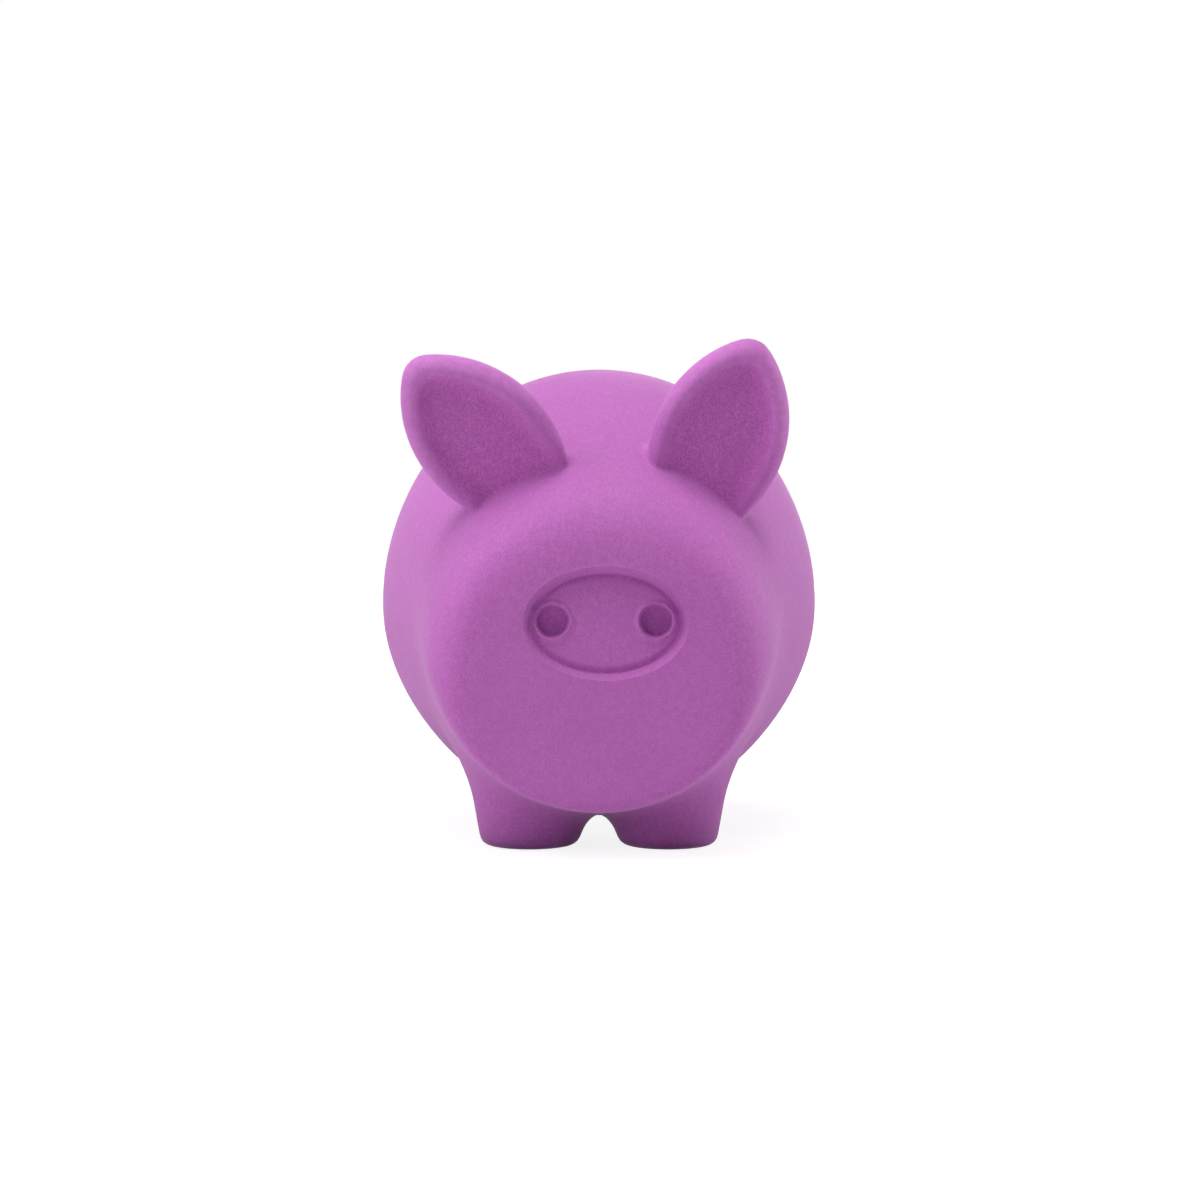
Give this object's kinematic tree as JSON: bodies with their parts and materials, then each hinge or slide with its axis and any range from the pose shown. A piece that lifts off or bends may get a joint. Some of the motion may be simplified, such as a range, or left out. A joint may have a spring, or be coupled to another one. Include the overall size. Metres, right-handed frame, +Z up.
{
  "type": "dog toy",
  "caption": "Round pig-shaped dog toy of soft latex over fibre filling, with a flat oval snout, upright leaf ears that bend, short stub legs, a curled tail and a squeaker in the belly.",
  "frame": {"origin": "centre of the bounding box on the floor, under the four soles", "axes": "+Z up; the face looks along -Y and the tail is towards +Y; +X is the pig's own left"},
  "size_m": [0.0794, 0.1017, 0.0894],
  "materials": {
    "latex": "matte, powdery",
    "fibre": "loose polyester fibre",
    "plastic": "moulded, satin",
    "film": "smooth film"
  },
  "bodies": {
    "toy": {"body_skin": "latex", "head_skin": "latex", "leg_front_left": "latex", "leg_front_right": "latex", "leg_rear_left": "latex", "leg_rear_right": "latex", "tail": "latex", "fibre_filling": "fibre", "squeaker_housing": "plastic", "squeaker_cap": "plastic", "reed_block": "plastic", "reed_wedge": "plastic"},
    "ear_left": {"ear_left": "latex"},
    "ear_right": {"ear_right": "latex"},
    "reed": {"reed": "film"}
  },
  "joints": [
    {"name": "ear_left_bend", "type": "hinge", "parent": "toy", "child": "ear_left", "pos_m": [0.01918, -0.03445, 0.06598], "axis": [0.8384, 0.1176, -0.5322], "range_deg": [-25, 55], "stiffness_Nm_per_rad": 0.05},
    {"name": "ear_right_bend", "type": "hinge", "parent": "toy", "child": "ear_right", "pos_m": [-0.01431, -0.03799, 0.06671], "axis": [0.9149, -0.146, 0.3763], "range_deg": [-25, 55], "stiffness_Nm_per_rad": 0.05},
    {"name": "reed_swing", "type": "hinge", "parent": "toy", "child": "reed", "pos_m": [0, 0.00215, 0.015], "axis": [1, 0, 0], "range_deg": [-4, 2], "stiffness_Nm_per_rad": 0.0015}
  ]
}
